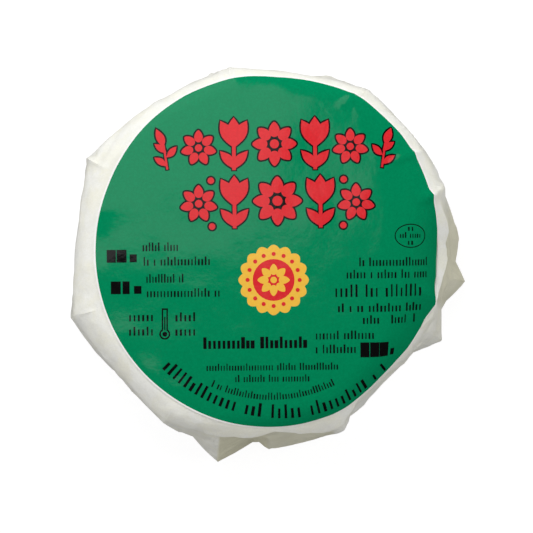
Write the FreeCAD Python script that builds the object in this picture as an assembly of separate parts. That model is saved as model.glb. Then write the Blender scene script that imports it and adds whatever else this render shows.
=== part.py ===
import FreeCAD, Part
import math
import os
from collections import namedtuple

"""A small round soft cheese in its white paper wrap, with a round label glued on top.

The wrap is one sheet: it covers the top, turns down over the shoulder and is pleated in under the
base. Its corners are where the pleats start, so in plan the pack is an uneven polygon round the
cheese. Most pleats are pressed flat on the wall, and some stand off it as ears. The pack is shut, so
cheese and paper are one solid, and the label is a second, thin one that follows the top.

Millimetres, +Z up, origin at the centre of the cheese on the surface that the pack stands on.
"""

# The cheese and the paper on it
CHEESE_RADIUS = 43.2
CHEESE_HEIGHT = 42.0
PAPER = 0.3
SHOULDER_RADIUS = 5.5
FOOT_RADIUS = 4.0

# One side of the cheese has slumped, so its shoulder is rounder there
SLUMP_RADIUS = 6.5
SLUMP_AZIMUTH = -12.0
SLUMP_SHARPNESS = 4

# The label: it's a little smaller than the wrapped cheese, and was laid off its middle
LABEL_MARGIN = 0.1
LABEL_THICKNESS = 0.2
LABEL_OFFSET_X = 2.9
LABEL_OFFSET_Y = -0.3
LABEL_STEEPEST = 68.0
LABEL_STEPS = 90

# How the paper is folded
PLEAT_APEX_DEPTH = 4.0
PLEAT_FLARE = 1.6
APEX_SHARE = 0.1
LEDGE = 0.55
CREASE = 0.4
PANEL_SLACK = 0.02
PANEL_STEPS = 3

# The folds gathered under the base
BASE_HUB_RADIUS = 11.0
BASE_FOLD_DEPTH = 0.45
BASE_FOLD_MARGIN = 2.5
BASE_TWIST = 40.0

# Each pleat starts at a corner of the sheet: its direction from the axis in degrees, and how far the
# corner stands out past the wrapped cheese at the shoulder and at the foot. At the foot, its fold
# lies a share of the way along the next panel, stands off it by a distance, and comes back to it
# over a share of its length, or at once where the pleat is pressed flat.
Pleat = namedtuple("Pleat", "azimuth stand foot_stand along off tail")
PLEATS = [
    Pleat(3.5, 1.6, 7.5, 0.23, 0.2, 0.2),
    Pleat(18.5, 4.6, 5.8, 0.61, LEDGE, 0.0),
    Pleat(31.0, 4.2, 4.8, 0.45, LEDGE, 0.0),
    Pleat(55.5, 4.3, 6.0, 0.31, 1.6, 0.25),
    Pleat(98.8, 2.0, 3.5, 0.29, 1.5, 0.2),
    Pleat(151.8, 4.4, 4.4, 0.30, 0.8, 0.1),
    Pleat(199.4, 5.2, 8.0, 0.31, 1.0, 0.1),
    Pleat(240.6, 4.8, 7.1, 0.55, LEDGE, 0.0),
    Pleat(250.0, 3.4, 7.2, 0.41, 5.6, 0.5),
    Pleat(269.5, 1.4, 5.5, 0.12, 1.9, 0.8),
    Pleat(293.0, 1.4, 7.3, 0.30, 0.3, 0.3),
    Pleat(298.5, 1.2, 4.6, 0.20, 0.3, 0.1),
    Pleat(326.5, 1.2, 3.6, 0.42, 4.0, 0.42),
    Pleat(345.0, 1.6, 5.8, 0.36, 3.4, 0.28),
]

# How finely the roundings and the wall are cut into sections
SHOULDER_STEPS = 9
FOOT_STEPS = 4
WALL_STEPS = 4

PACK_HEIGHT = CHEESE_HEIGHT + 2 * PAPER
WALL_RADIUS = CHEESE_RADIUS + PAPER
LABEL_RADIUS = WALL_RADIUS - LABEL_MARGIN
LARGEST_SHOULDER = SHOULDER_RADIUS + SLUMP_RADIUS


def levels():
    """The heights of the sections, from the base up."""
    foot = [FOOT_RADIUS * (1 - math.cos(math.radians(90 * i / FOOT_STEPS))) for i in range(FOOT_STEPS)]
    shoulder_start = PACK_HEIGHT - LARGEST_SHOULDER
    rise = (shoulder_start - FOOT_RADIUS) / WALL_STEPS
    wall = [FOOT_RADIUS + rise * i for i in range(WALL_STEPS)]
    turns = [math.radians(90 * i / SHOULDER_STEPS) for i in range(SHOULDER_STEPS + 1)]
    return foot + wall + [shoulder_start + LARGEST_SHOULDER * math.sin(turn) for turn in turns]


def polar(radius, azimuth):
    """A plan point from its distance and its direction in degrees."""
    return (radius * math.cos(math.radians(azimuth)), radius * math.sin(math.radians(azimuth)))


def shoulder_radius(azimuth):
    """The rounding of the pack's top edge in that direction."""
    facing = max(0.0, math.cos(math.radians(azimuth - SLUMP_AZIMUTH)))
    return SHOULDER_RADIUS + SLUMP_RADIUS * facing**SLUMP_SHARPNESS


def inset(azimuth, z):
    """How far the side lies inside its full outline at a height: the roundings at top and foot."""
    depth = PACK_HEIGHT - z
    top = shoulder_radius(azimuth)
    if depth < top:
        return top - math.sqrt(top**2 - (top - depth) ** 2)
    if z < FOOT_RADIUS:
        return FOOT_RADIUS - math.sqrt(FOOT_RADIUS**2 - (FOOT_RADIUS - z) ** 2)
    return 0.0


def opening(z):
    """How far a pleat has opened at a height: 0 at its apex on the shoulder, 1 at the foot."""
    apex = PACK_HEIGHT - PLEAT_APEX_DEPTH
    share = (apex - z) / (apex - FOOT_RADIUS)
    return min(1.0, max(0.0, share)) ** PLEAT_FLARE


def corner(pleat, z):
    """The sheet's corner where a pleat is rooted, at a height, before the roundings."""
    stand = pleat.stand + (pleat.foot_stand - pleat.stand) * opening(z)
    return polar(WALL_RADIUS + stand, pleat.azimuth)


def panel_point(start, end, along, off):
    """A point on the taut panel between two corners: how far along it from its start, and off it."""
    dx, dy = end[0] - start[0], end[1] - start[1]
    length = math.hypot(dx, dy)
    nx, ny = dy / length, -dx / length
    nearest = abs(start[0] * nx + start[1] * ny)
    bulge = PANEL_SLACK * length + max(0.0, WALL_RADIUS - nearest)
    share = along / length
    height = 4 * bulge * share * (1 - share) + off
    return (start[0] + dx * share + nx * height, start[1] + dy * share + ny * height)


def outline(z):
    """The folded sheet's closed outline at a height, before the roundings, counter-clockwise."""
    points = []
    share = opening(z)
    for pleat, following in zip(PLEATS, PLEATS[1:] + PLEATS[:1]):
        start, end = corner(pleat, z), corner(following, z)
        length = math.hypot(end[0] - start[0], end[1] - start[1])
        along = 2 * CREASE + (pleat.along * length - 2 * CREASE) * share
        last = along + CREASE + (max(pleat.tail * length, CREASE) - CREASE) * share
        off = pleat.off * max(share, APEX_SHARE)
        points.append(start)
        points.append(panel_point(start, end, 0.5 * along, 0.55 * off))
        points.append(panel_point(start, end, along, off))
        points.append(panel_point(start, end, last, 0.0))
        for step in range(1, PANEL_STEPS + 1):
            place = last + (length - last) * step / (PANEL_STEPS + 1)
            points.append(panel_point(start, end, place, 0.0))
    return points


def section(z, growth):
    """The pack's outline at a height as a closed wire, or that of a pack grown by a thickness."""
    lift = growth if z >= PACK_HEIGHT else 0.0
    points = []
    for x, y in outline(z):
        radius, azimuth = math.hypot(x, y), math.degrees(math.atan2(y, x))
        place = polar(radius - inset(azimuth, z) + growth, azimuth)
        points.append(FreeCAD.Vector(*place, z + lift))
    return Part.makePolygon(points + points[:1])


def folded_pack(growth=0.0):
    """The folded pack: a loft through its sections."""
    return Part.makeLoft([section(z, growth) for z in levels()], True, True)


def radius_at(points, azimuth):
    """How far from the axis a closed outline lies in one direction."""
    dx, dy = polar(1.0, azimuth)
    for (ax, ay), (bx, by) in zip(points, points[1:] + points[:1]):
        side_a, side_b = dx * ay - dy * ax, dx * by - dy * bx
        if side_a <= 0 < side_b:
            share = side_a / (side_a - side_b)
            radius = dx * (ax + (bx - ax) * share) + dy * (ay + (by - ay) * share)
            if radius > 0:
                return radius
    raise ValueError(f"the outline is open at {azimuth} degrees")


def base_fold(pleat, following):
    """The thin hollow beside one fold under the base: it deepens from a fold's edge to the next."""
    foot = outline(0.0)
    ring = []
    for azimuth in (pleat.azimuth, following.azimuth):
        outer = radius_at(foot, azimuth) + BASE_FOLD_MARGIN
        ring.append((polar(BASE_HUB_RADIUS, azimuth + BASE_TWIST), polar(outer, azimuth)))
    (hub, rim), (next_hub, next_rim) = ring
    below = -1.0
    low = [FreeCAD.Vector(*place, below) for place in (hub, rim, next_rim, next_hub)]
    high = [FreeCAD.Vector(*hub, 0.0), FreeCAD.Vector(*rim, 0.0)]
    high += [FreeCAD.Vector(*place, BASE_FOLD_DEPTH) for place in (next_rim, next_hub)]
    sides = [[low[i], low[(i + 1) % 4], high[(i + 1) % 4], high[i]] for i in range(4)]
    lids = [[high[0], high[1], high[2]], [high[0], high[2], high[3]]]
    faces = [Part.Face(Part.makePolygon(loop + loop[:1])) for loop in [low, *sides, *lids]]
    return Part.makeSolid(Part.makeShell(faces))


def label_outline():
    """The edge of the round label in plan, once it's laid over the pack's shoulder."""
    top = outline(PACK_HEIGHT)
    points = []
    for step in range(LABEL_STEPS):
        azimuth = 360.0 * step / LABEL_STEPS
        dx, dy = polar(1.0, azimuth)
        forward = LABEL_OFFSET_X * dx + LABEL_OFFSET_Y * dy
        sideways = LABEL_OFFSET_X * dy - LABEL_OFFSET_Y * dx
        reach = forward + math.sqrt(LABEL_RADIUS**2 - sideways**2)
        rounding = shoulder_radius(azimuth)
        flat = radius_at(top, azimuth) - rounding
        turn = min((reach - flat) / rounding, math.radians(LABEL_STEEPEST))
        radius = flat + rounding * math.sin(turn) if turn > 0 else reach
        points.append(FreeCAD.Vector(*polar(radius, azimuth), 0.0))
    return points


def make_wrap():
    """The shut pack, with the folds under its base."""
    pack = folded_pack()
    hollows = [base_fold(*pair) for pair in zip(PLEATS, PLEATS[1:] + PLEATS[:1])]
    return pack.cut(hollows)


def make_label(wrap):
    """The label: what lies inside its outline in a pack grown by its thickness."""
    points = label_outline()
    disc = Part.Face(Part.makePolygon(points + points[:1]))
    disc.translate(FreeCAD.Vector(0, 0, PACK_HEIGHT / 2))
    column = disc.extrude(FreeCAD.Vector(0, 0, PACK_HEIGHT))
    return folded_pack(LABEL_THICKNESS).common(column).cut(wrap)


def main():
    os.makedirs("parts", exist_ok=True)
    wrap = make_wrap()
    for name, shape in {"wrap": wrap, "label": make_label(wrap)}.items():
        shape.exportStep(f"parts/{name}.step")


main()
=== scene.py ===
"""A small soft cheese in pleated white paper with a round printed label, and the stage it is shown on."""

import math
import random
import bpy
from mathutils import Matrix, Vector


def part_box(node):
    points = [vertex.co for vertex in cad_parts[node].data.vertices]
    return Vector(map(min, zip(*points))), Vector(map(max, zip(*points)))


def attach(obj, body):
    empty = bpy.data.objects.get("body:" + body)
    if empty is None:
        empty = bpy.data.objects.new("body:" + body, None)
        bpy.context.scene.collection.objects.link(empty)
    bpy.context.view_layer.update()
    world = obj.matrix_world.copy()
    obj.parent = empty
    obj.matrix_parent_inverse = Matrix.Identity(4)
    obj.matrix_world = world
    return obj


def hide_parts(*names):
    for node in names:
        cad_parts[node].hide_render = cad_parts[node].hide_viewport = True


bl_info = {
    "name": "Wrapped Soft Cheese",
    "version": (1, 0, 0),
    "blender": (4, 5, 0),
    "location": "View3D > Sidebar > Cheese",
    "description": "Builds a small soft cheese in its pleated paper wrap, with its label and a plain stage",
    "category": "Object",
}

from collections import namedtuple

import bpy
import numpy as np
from bpy.props import FloatProperty, FloatVectorProperty, IntProperty, PointerProperty
from mathutils import Vector, noise
from mathutils.geometry import delaunay_2d_cdt

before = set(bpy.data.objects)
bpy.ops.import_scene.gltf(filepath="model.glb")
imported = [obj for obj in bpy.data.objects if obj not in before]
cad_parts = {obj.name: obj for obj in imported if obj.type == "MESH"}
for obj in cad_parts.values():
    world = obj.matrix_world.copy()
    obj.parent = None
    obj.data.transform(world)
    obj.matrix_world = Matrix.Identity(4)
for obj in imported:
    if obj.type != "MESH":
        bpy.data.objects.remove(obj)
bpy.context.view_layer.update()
PACK_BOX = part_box("wrap")
MM = 0.001

# Each pleat starts at a corner of the folded sheet: its direction from the axis in degrees, and how
# far the corner stands out past the wrapped cheese at the shoulder and at the foot, in millimetres.
# At the foot, its fold lies a share of the way along the next panel, stands off it by a distance,
# and comes back to it over a share of its length, or at once where the pleat is pressed flat. An
# upright fold runs straight down instead of opening from the corner. The front and the back of a
# fold are darkened to a dull beige by a share: partly the paper's own tint, partly painted shade on
# facets that face away from the light.
Pleat = namedtuple("Pleat", "azimuth stand foot_stand along off tail upright dull_front dull_back",
                   defaults=(False, 0.0, 0.0))

# How far the edge of a pleat that is pressed flat stands off the panel under it.
LEDGE = 0.55
PLEATS = [
    Pleat(3.5, 1.6, 7.5, 0.23, 0.2, 0.2, False, 0.9, 0.8),
    Pleat(18.5, 4.6, 5.8, 0.61, LEDGE, 0.0),
    Pleat(31.0, 4.2, 4.8, 0.45, LEDGE, 0.0),
    Pleat(55.5, 4.3, 6.0, 0.31, 1.6, 0.25),
    Pleat(98.8, 2.0, 3.5, 0.29, 1.5, 0.2),
    Pleat(151.8, 4.4, 4.4, 0.30, 0.8, 0.1),
    Pleat(199.4, 5.2, 8.0, 0.31, 0.5, 0.2),
    Pleat(240.6, 4.8, 7.1, 0.55, 0.25, 0.1),
    Pleat(250.0, 3.4, 7.2, 0.41, 5.6, 0.5, True, 0.15, 1.0),
    Pleat(269.5, 1.4, 5.5, 0.12, 1.9, 0.8, True, 1.0, 0.8),
    Pleat(293.0, 1.4, 7.3, 0.30, 0.3, 0.3),
    Pleat(298.5, 1.2, 4.6, 0.20, 0.3, 0.1),
    Pleat(326.5, 1.2, 3.6, 0.42, 4.0, 0.42, True, 0.1, 0.2),
    Pleat(345.0, 1.6, 5.8, 0.36, 3.4, 0.28, True, 0.8, 0.9),
]


def length(name, description, default):
    """A size of the pack in metres that a user may change."""
    return FloatProperty(name=name, description=description, default=default, unit="LENGTH", precision=5)


def tint(name, description, default):
    """A linear colour that a user may change."""
    return FloatVectorProperty(name=name, description=description, default=default, size=3,
                               subtype="COLOR", min=0, max=1)


def angle(name, description, degrees):
    """A direction or a turn that a user may change."""
    return FloatProperty(name=name, description=description, default=math.radians(degrees), subtype="ANGLE")


def plain_number(name, description, default):
    """A plain number that a user may change."""
    return FloatProperty(name=name, description=description, default=default)


class CheesePackSizes(bpy.types.PropertyGroup):
    """The sizes of the folded pack."""

    wall_radius: length("Wall Radius", "Radius of the cheese with its paper on", 0.0435)
    shoulder: length("Shoulder", "Rounding of the top edge", 0.0055)
    slump: length("Slump", "How much rounder the top edge is where the cheese has slumped", 0.0065)
    foot: length("Foot", "Rounding of the bottom edge", 0.004)
    apex_depth: length("Pleat Apex", "How far below the top the pleats open", 0.004)
    slack: plain_number("Panel Slack", "How far a panel bows out, as a share of its length", 0.02)
    flare: plain_number("Pleat Flare", "How late a pleat opens on its way down", 1.6)
    hub: length("Base Hub", "Radius of the flat middle of the folds under the base", 0.011)
    base_fold: length("Base Fold", "Depth of one fold under the base", 0.00045)
    slump_azimuth: angle("Slump Azimuth", "Direction of the slump", -12)
    twist: angle("Base Twist", "How far the folds under the base turn", 40)
    seed: IntProperty(name="Crease Seed", description="Which set of small creases the paper has", default=7)


class CheeseLabelSizes(bpy.types.PropertyGroup):
    """The sizes of the label and of its print."""

    radius: length("Radius", "Radius of the label as it was cut", 0.0434)
    thickness: length("Thickness", "Thickness of the label", 0.0002)
    margin: length("Margin", "Width of the unprinted rim", 0.0004)
    offset_x: length("Offset X", "How far the label lies off the pack's axis to the right", 0.0029)
    offset_y: length("Offset Y", "How far the label lies off the pack's axis to the top", -0.0003)
    ink: length("Ink", "Height of one layer of ink", 0.00002)


class CheeseColours(bpy.types.PropertyGroup):
    """The colours of the paper and the inks."""

    paper: tint("Paper", "The waxed paper", (0.83, 0.83, 0.79))
    paper_cream: tint("Cream", "The paper where it clings to the cheese", (0.81, 0.80, 0.70))
    # Dull beige: partly the paper's own tint where it hangs loose, partly painted shade on the lower folds
    # and on facets that face away from the light.
    paper_dull_and_shade: tint("Dull Paper", "The unwaxed side of the paper, in the folds", (0.64, 0.62, 0.47))
    green: tint("Green", "The label's ground", (0.0006, 0.217, 0.088))
    red: tint("Red", "The label's ornaments", (0.66, 0.024, 0.031))
    dark: tint("Dark", "The outlines and the small print", (0.004, 0.004, 0.004))
    yellow: tint("Yellow", "The seal's ring", (0.86, 0.49, 0.06))


def sizes():
    """The pack's sizes."""
    return bpy.context.scene.cheese_pack


def label_sizes():
    """The label's sizes."""
    return bpy.context.scene.cheese_label


def colours():
    """The colours of the paper and the inks."""
    return bpy.context.scene.cheese_colours


# ---------------------------------------------------------------- the pack's surface, in millimetres

PACK_HEIGHT = PACK_BOX[1][2] / MM

# The width of a pressed fold where sheets are laid over it, and the gap between a panel and the next
# corner, which is also the width of the wrap's own pressed folds.
CREASE = 0.4
EDGE_GAP = 0.15

# How much of its depth a fold already has at its apex, and how closely the slump keeps to its side.
APEX_SHARE = 0.1
SLUMP_SHARPNESS = 4


def mm(value):
    """A property in metres as millimetres."""
    return value / MM


def shoulder_radius(azimuth):
    """The rounding of the top edge in a direction in radians, or an array of them."""
    facing = np.maximum(0.0, np.cos(azimuth - sizes().slump_azimuth))
    return mm(sizes().shoulder) + mm(sizes().slump) * facing**SLUMP_SHARPNESS


def opening(z):
    """How far a pleat has opened at a height: 0 at its apex on the shoulder, 1 at the foot."""
    apex = PACK_HEIGHT - mm(sizes().apex_depth)
    return min(1.0, max(0.0, (apex - z) / (apex - mm(sizes().foot)))) ** sizes().flare


def corner(pleat, z):
    """The sheet's corner where a pleat is rooted, in plan, before the roundings."""
    stand = pleat.stand + (pleat.foot_stand - pleat.stand) * opening(z)
    azimuth = math.radians(pleat.azimuth)
    return (mm(sizes().wall_radius) + stand) * np.array([math.cos(azimuth), math.sin(azimuth)])


def panel_counts(spacing):
    """For each panel, how many columns its pleat's front, its pleat's back and its flat have."""
    foot = mm(sizes().foot)
    counts = []
    for pleat, following in zip(PLEATS, PLEATS[1:] + PLEATS[:1]):
        span = np.linalg.norm(corner(following, foot) - corner(pleat, foot))
        front = max(4, round(math.hypot(pleat.along * span, pleat.off) / spacing))
        back = max(1, round(math.hypot(pleat.tail * span, pleat.off * (pleat.tail > 0)) / spacing))
        flat = max(4, round((1 - pleat.along - pleat.tail) * span / spacing))
        counts.append((front, back, flat))
    return counts


def outline(z, counts, fold_width=CREASE):
    """The folded sheet's closed outline at a height, before the roundings: points, and how far each is
    darkened to dull beige, partly painted shade.
    """
    opened = opening(z)
    points, dullness_and_shade = [], []
    for pleat, following, (front, back, flat) in zip(PLEATS, PLEATS[1:] + PLEATS[:1], counts):
        start, end = corner(pleat, z), corner(following, z)
        span = np.linalg.norm(end - start)
        way = (end - start) / span
        out = np.array([way[1], -way[0]])
        spread = 1.0 if pleat.upright else opened
        along = 2 * CREASE + (pleat.along * span - 2 * CREASE) * spread
        tail = fold_width + (max(pleat.tail * span, fold_width) - fold_width) * spread
        off = pleat.off * max(opened, APEX_SHARE)
        rise, fall, on = np.arange(front) / front, np.arange(back) / back, np.arange(flat + 1) / flat
        rest = span - EDGE_GAP - along - tail
        place = np.concatenate([along * rise, along + tail * fall, along + tail + rest * on])
        fold = [off * np.where(rise < 0.5, 1.1 * rise, 0.1 + 0.9 * rise), off * (1 - fall), 0 * on]
        bulge = sizes().slack * span + max(0.0, mm(sizes().wall_radius) - abs(start @ out))
        height = 4 * bulge * (place / span) * (1 - place / span) + np.concatenate(fold)
        points.append(start + np.outer(place, way) + np.outer(height, out))
        # How far each point is darkened to dull beige: partly the paper's own tint, partly painted shade on
        # the facets that face away from the light.
        dull_shade = np.full(len(place), pleat.dull_back)
        dull_shade[:front] = pleat.dull_front
        blend = smooth_step(on)
        dull_shade[front + back:] = pleat.dull_back * (1 - blend) + following.dull_front * blend
        dullness_and_shade.append(dull_shade)
    return np.concatenate(points), np.concatenate(dullness_and_shade)


def roll(azimuth, depth):
    """How far the surface has turned from level to upright, in radians, at a depth below the top."""
    radius = shoulder_radius(azimuth)
    return np.arccos(1 - np.minimum(depth / radius, 1.0))


# Where the label's edge is pulled out or in over the shoulder: the direction from its centre in
# degrees, to how many degrees on either side, and how far. Only the label's rim is pulled: it starts
# at a distance from the centre, and the whole of the pull is reached over a width.
PULLS = [(22, 20, -1.3), (60, 12, 0.4), (88, 9, -0.3), (120, 38, 0.7), (285, 30, 0.5), (339, 8, 0.6),
         (345, 26, 0.9)]
PULLED_FROM = 38.0
PULLED_OVER = 5.0


def pull(away):
    """How far the label's edge is pulled in the directions of places from its centre."""
    azimuth = np.degrees(np.arctan2(away[:, 1], away[:, 0]))
    moved = np.zeros(len(away))
    for middle, width, amount in PULLS:
        turned = (azimuth - middle + 180) % 360 - 180
        moved += amount * np.maximum(0.0, 1 - np.abs(turned) / width)
    return moved


def pulled(points):
    """Places in plan on the label as it was cut, moved to where its paper has been pulled."""
    away = points - label_centre()
    distance = np.maximum(np.hypot(away[:, 0], away[:, 1]), 1e-6)
    rim = smooth_step((distance - PULLED_FROM) / PULLED_OVER)
    return points + away * (pull(away) * rim / distance)[:, None]


def label_centre():
    """The label's centre in plan."""
    return np.array([mm(label_sizes().offset_x), mm(label_sizes().offset_y)])


def polar(points):
    """The directions of places from the axis, and how far they are from it in plan."""
    return np.arctan2(points[:, 1], points[:, 0]), np.hypot(points[:, 0], points[:, 1])


def around(radius, azimuth, level):
    """Points at distances from the axis, in directions, at heights."""
    return np.stack([radius * np.cos(azimuth), radius * np.sin(azimuth), level], 1)


def lifted(radius, azimuth, depth, turn, lift):
    """Points lifted off the surface, where it has turned from level to upright by an angle."""
    place = around(radius, azimuth, PACK_HEIGHT - depth)
    return place + around(np.sin(turn), azimuth, np.cos(turn)) * lift[:, None]


class Top:
    """The pack's top, shoulder and wall as a table, so that sheets can be laid over them."""

    # The directions round the pack, the depths below its top, and the spacing of the outline's points.
    STEPS = 1440
    DEPTHS = np.linspace(0.0, 38.0, 39)
    PITCH = 1.0

    def __init__(self):
        counts = panel_counts(self.PITCH)
        turn = 2 * math.pi * np.arange(self.STEPS) / self.STEPS
        rows = []
        for depth in self.DEPTHS:
            points, _ = outline(PACK_HEIGHT - depth, counts)
            azimuth, radius = polar(points)
            rows.append(np.interp(turn, azimuth, radius, period=2 * math.pi))
        self.table = np.array(rows)

    def wall(self, azimuth, depth):
        """How far from the axis the sheet would be at a depth if the top edge were square."""
        column = (azimuth % (2 * math.pi)) / (2 * math.pi) * self.STEPS
        low = np.floor(column).astype(int)
        share = column - low
        row = np.clip(depth / self.DEPTHS[1], 0, len(self.DEPTHS) - 1.001)
        level = np.floor(row).astype(int)
        rest = row - level
        first, second = low % self.STEPS, (low + 1) % self.STEPS
        upper = self.table[level, first] * (1 - share) + self.table[level, second] * share
        lower = self.table[level + 1, first] * (1 - share) + self.table[level + 1, second] * share
        return upper * (1 - rest) + lower * rest

    def flat(self, azimuth):
        """How far from the axis the top stays level."""
        return self.wall(azimuth, 0 * azimuth) - shoulder_radius(azimuth)

    def lay(self, points, lift):
        """Lays flat points in plan over the top and shoulder, lifted off the paper by a distance."""
        points = pulled(points)
        azimuth, reach = polar(points)
        rounding = shoulder_radius(azimuth)
        turn = np.clip((reach - self.flat(azimuth)) / rounding, 0.0, math.pi / 2)
        depth = rounding * (1 - np.cos(turn))
        radius = np.where(turn > 0, self.wall(azimuth, depth) - rounding * (1 - np.sin(turn)), reach)
        return lifted(radius, azimuth, depth, turn, relief(radius, azimuth, depth, reach) + lift)

    def reach(self, azimuth, depth):
        """How far it is from the axis along the paper to a depth below the top."""
        rounding = shoulder_radius(azimuth)
        turned = rounding * roll(azimuth, depth) + np.maximum(0.0, depth - rounding)
        return self.wall(azimuth, depth) - rounding + turned

    def side(self, azimuth, depth, lift):
        """Places on the shoulder and the wall at a depth, lifted off the paper by a distance."""
        radius, reach = self.width(azimuth, depth), self.reach(azimuth, depth)
        height = relief(radius, azimuth, depth, reach) + lift
        return lifted(radius, azimuth, depth, roll(azimuth, depth), height)

    def width(self, azimuth, depth):
        """How far the pack reaches from the axis at a depth below the top."""
        return self.wall(azimuth, depth) - shoulder_radius(azimuth) * (1 - np.sin(roll(azimuth, depth)))

    def depth_at(self, azimuth, radius):
        """How far below the top the pack is as wide as a radius in a direction."""
        widths = np.stack([self.width(azimuth, np.full_like(azimuth, depth)) for depth in self.DEPTHS])
        widths = np.maximum.accumulate(widths, 0) + 1e-6 * self.DEPTHS[:, None]
        return np.array([np.interp(wide, column, self.DEPTHS) for wide, column in zip(radius, widths.T)])


def label_reach(azimuth):
    """How far from the pack's axis the flat label's edge is in a direction."""
    x, y = label_centre()
    forward = x * np.cos(azimuth) + y * np.sin(azimuth)
    sideways = x * np.sin(azimuth) - y * np.cos(azimuth)
    cut = forward + np.sqrt(mm(label_sizes().radius) ** 2 - sideways**2)
    return cut + pull(np.stack([cut * np.cos(azimuth) - x, cut * np.sin(azimuth) - y], 1))


def smooth_step(value):
    """0 below 0, 1 above 1, and smooth between."""
    value = np.clip(value, 0.0, 1.0)
    return value * value * (3 - 2 * value)


def noise_field(places, scale):
    """Smooth noise from -1 to 1 at each place, with features of about that size in millimetres."""
    return np.array([noise.noise(Vector(place) / scale) for place in places])


# A crease runs from one place on the paper to another: directions from the axis in degrees, and how far
# it is from the axis along the paper. It has a height, and a width on each side of its line.
Crease = namedtuple("Crease", "azimuth reach end_azimuth end_reach height width")

# The creases and hollows that have a place of their own. Some run on under the label.
MAIN_CREASES = [
    Crease(-13.0, 40.0, -23.0, 58.0, 1.5, 4.5),
    Crease(34.0, 38.0, 31.0, 49.0, 0.7, 1.8),
    Crease(17.0, 40.0, 18.5, 52.0, 0.9, 2.0),
    Crease(61.0, 40.0, 55.5, 50.0, 0.5, 1.7),
    Crease(59.0, 44.3, 51.0, 48.5, -0.8, 1.0),
    Crease(151.5, 45.0, 149.0, 51.0, -1.2, 1.1),
    Crease(156.0, 44.0, 136.0, 47.0, -0.8, 1.0),
    Crease(-119.4, 43.5, -118.8, 51.5, 0.55, 0.8),
    Crease(-47.0, 42.0, -47.0, 95.0, -1.1, 11.0),
]

# The distance along the paper at which a crease's turn is taken as a length.
CREASE_RADIUS = 44.0

# Small creases all over the paper: how many there are, and the ranges of how far out they start, how
# far they turn in radians, how far out they run, how high they are and how wide.
Scatter = namedtuple("Scatter", "count start turn run height width")
SCATTERS = [
    Scatter(90, (46, 84), (-0.25, 0.25), (6, 26), (0.2, 0.6), (0.5, 1.6)),
    Scatter(60, (44, 50), (0.08, 0.3), (-1.5, 1.5), (0.1, 0.24), (0.5, 1.0)),
    Scatter(110, (51, 80), (-0.3, 0.3), (4, 22), (0.25, 0.55), (0.5, 1.3)),
]


def in_radians(crease):
    """A crease with its directions in radians."""
    return crease._replace(azimuth=math.radians(crease.azimuth), end_azimuth=math.radians(crease.end_azimuth))


def small_creases():
    """The paper's small creases, in radians: fans at the corners, and the ones all over the paper."""
    rng = random.Random(sizes().seed)
    found = []
    for pleat in PLEATS:
        azimuth = math.radians(pleat.azimuth)
        for _ in range(5):
            spread = rng.uniform(-0.16, 0.16)
            found.append(Crease(azimuth + 0.2 * spread, rng.uniform(43, 47), azimuth + spread,
                                rng.uniform(50, 62), rng.uniform(-0.4, 0.4), rng.uniform(0.5, 1.1)))
        for _ in range(4):
            spread = rng.uniform(-0.12, 0.12)
            found.append(Crease(azimuth + spread, rng.uniform(41, 44), azimuth + 0.3 * spread,
                                rng.uniform(47, 51), either_way(rng, (0.15, 0.3)), rng.uniform(0.4, 0.9)))
    for kind in SCATTERS:
        for _ in range(kind.count):
            azimuth, reach = rng.uniform(0, 2 * math.pi), rng.uniform(*kind.start)
            end_azimuth, end_reach = azimuth + rng.uniform(*kind.turn), reach + rng.uniform(*kind.run)
            height, width = either_way(rng, kind.height), rng.uniform(*kind.width)
            found.append(Crease(azimuth, reach, end_azimuth, end_reach, height, width))
    return found


def either_way(rng, limits):
    """A height between two limits, out of the paper or into it."""
    return rng.choice((-1, 1)) * rng.uniform(*limits)


def ridge(crease, azimuth, reach):
    """How far a crease lifts the paper at each place."""
    start = np.array([crease.azimuth * CREASE_RADIUS, crease.reach])
    way = np.array([crease.end_azimuth * CREASE_RADIUS, crease.end_reach]) - start
    span = np.linalg.norm(way)
    way /= span
    turned = (azimuth - crease.azimuth + math.pi) % (2 * math.pi) - math.pi
    dx, dy = turned * CREASE_RADIUS, reach - crease.reach
    along = (dx * way[0] + dy * way[1]) / span
    across = np.abs(dx * way[1] - dy * way[0]) / crease.width
    taper = np.sin(math.pi * np.clip(along, 0.0, 1.0)) ** 0.7
    return crease.height * taper * np.maximum(0.0, 1 - across) ** 1.5


# Where the top starts to sink towards the slumped side, from the near edge of the top to the far one,
# how steeply it sinks, and over what width.
SINK_LINE = [(29.3, -26.0), (28.3, -12.2), (31.2, 8.5), (30.0, 20.7), (24.9, 30.5), (23.7, 38.0)]
SINK_SLOPE = 0.09
SINK_WIDTH = 4.5

# The paper's soft hollows, its crumples outside the label, and its ripple near the label's edge: how
# high they are, how large, and how far on in the noise they are taken.
HOLLOWS = [(0.28, 17.0, 0.0), (0.10, 7.0, 40.0)]
CRUMPLES = [(0.42, 12.0, 90.0), (0.22, 5.0, 150.0)]
RIPPLE = (0.17, 9.0, 210.0)
CRUMPLE_LEVEL = 0.35


def sink(places):
    """How far the top has sunk beyond the line where its slump starts."""
    line = np.array(SINK_LINE)
    beyond = places[:, 0] - np.interp(places[:, 1], line[:, 1], line[:, 0])
    return SINK_SLOPE * np.clip(beyond, 0.0, SINK_WIDTH) * smooth_step((places[:, 2] - 30.0) / 6.0)


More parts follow.
